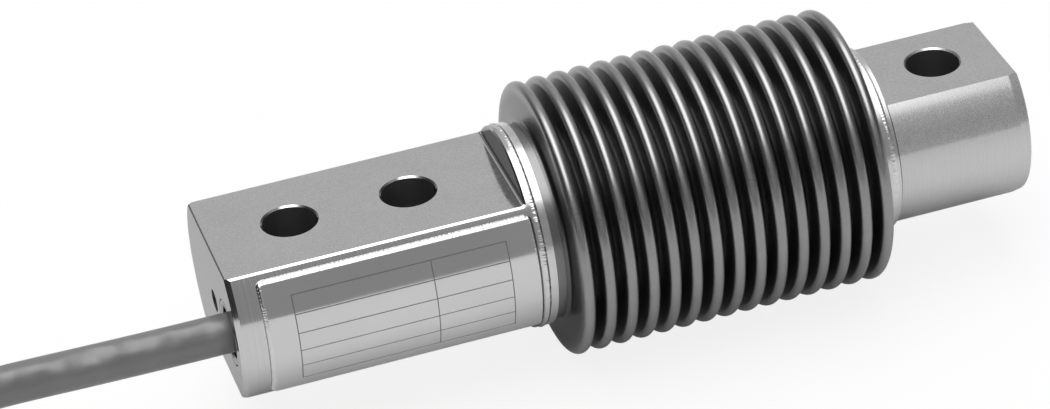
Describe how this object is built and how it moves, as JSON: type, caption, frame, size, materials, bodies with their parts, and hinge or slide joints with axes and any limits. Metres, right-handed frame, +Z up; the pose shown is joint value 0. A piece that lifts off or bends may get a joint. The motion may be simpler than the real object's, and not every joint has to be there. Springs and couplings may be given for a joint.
{
  "type": "bellows bending beam load cell",
  "caption": "Stainless bending beam load cell: drilled flats at both ends, a welded metal bellows that seals the thinned middle, a side cover over the wiring, and a tied signal cable.",
  "frame": {"origin": "on the lower mounting flat of the fixed end, midway between the two bolt holes", "axes": "+X along the bar from the cable end to the load end, +Z up through the holes, and the side cover faces -Y"},
  "size_m": [0.3002, 0.058, 0.042],
  "materials": {
    "bar_steel": "turned and ground stainless steel",
    "cover_steel": "smooth stainless sheet",
    "bellows_steel": "bright thin stainless sheet",
    "ring_steel": "turned stainless steel",
    "weld_metal": "rough bead",
    "seal_rubber": "black rubber",
    "sheath": "semi-matt sheath",
    "tie_plastic": "black nylon",
    "foil": "amber film",
    "board": "coated glass-fibre board",
    "chip": "dark body",
    "inner_wire": "pale insulation",
    "core_black": "insulation",
    "core_blue": "insulation",
    "core_white": "insulation",
    "core_red": "insulation",
    "core_green": "insulation",
    "core_grey": "insulation",
    "copper": "bare copper strand"
  },
  "bodies": {
    "root": {"measuring_beam": "bar_steel", "gland_bush": "bar_steel", "cover_plate": "cover_steel", "bellows": "bellows_steel", "fixed_ring": "ring_steel", "load_ring": "ring_steel", "load_sleeve": "ring_steel", "fixed_weld": "weld_metal", "load_weld": "weld_metal", "cable_seal": "seal_rubber", "cable_lead": "sheath", "cable_hank": "sheath", "cable_end": "sheath", "hank_tie_front": "tie_plastic", "hank_tie_back": "tie_plastic", "gauge_top_1": "foil", "gauge_top_2": "foil", "gauge_bottom_1": "foil", "gauge_bottom_2": "foil", "gauge_flex_top": "foil", "gauge_flex_bottom": "foil", "trim_board": "board", "terminal_strip": "board", "trim_resistors": "chip", "inner_cores": "inner_wire", "bridge_leads": "inner_wire", "core_black": "core_black", "core_blue": "core_blue", "core_white": "core_white", "core_red": "core_red", "core_green": "core_green", "core_grey": "core_grey", "core_tips": "copper"}
  },
  "joints": []
}
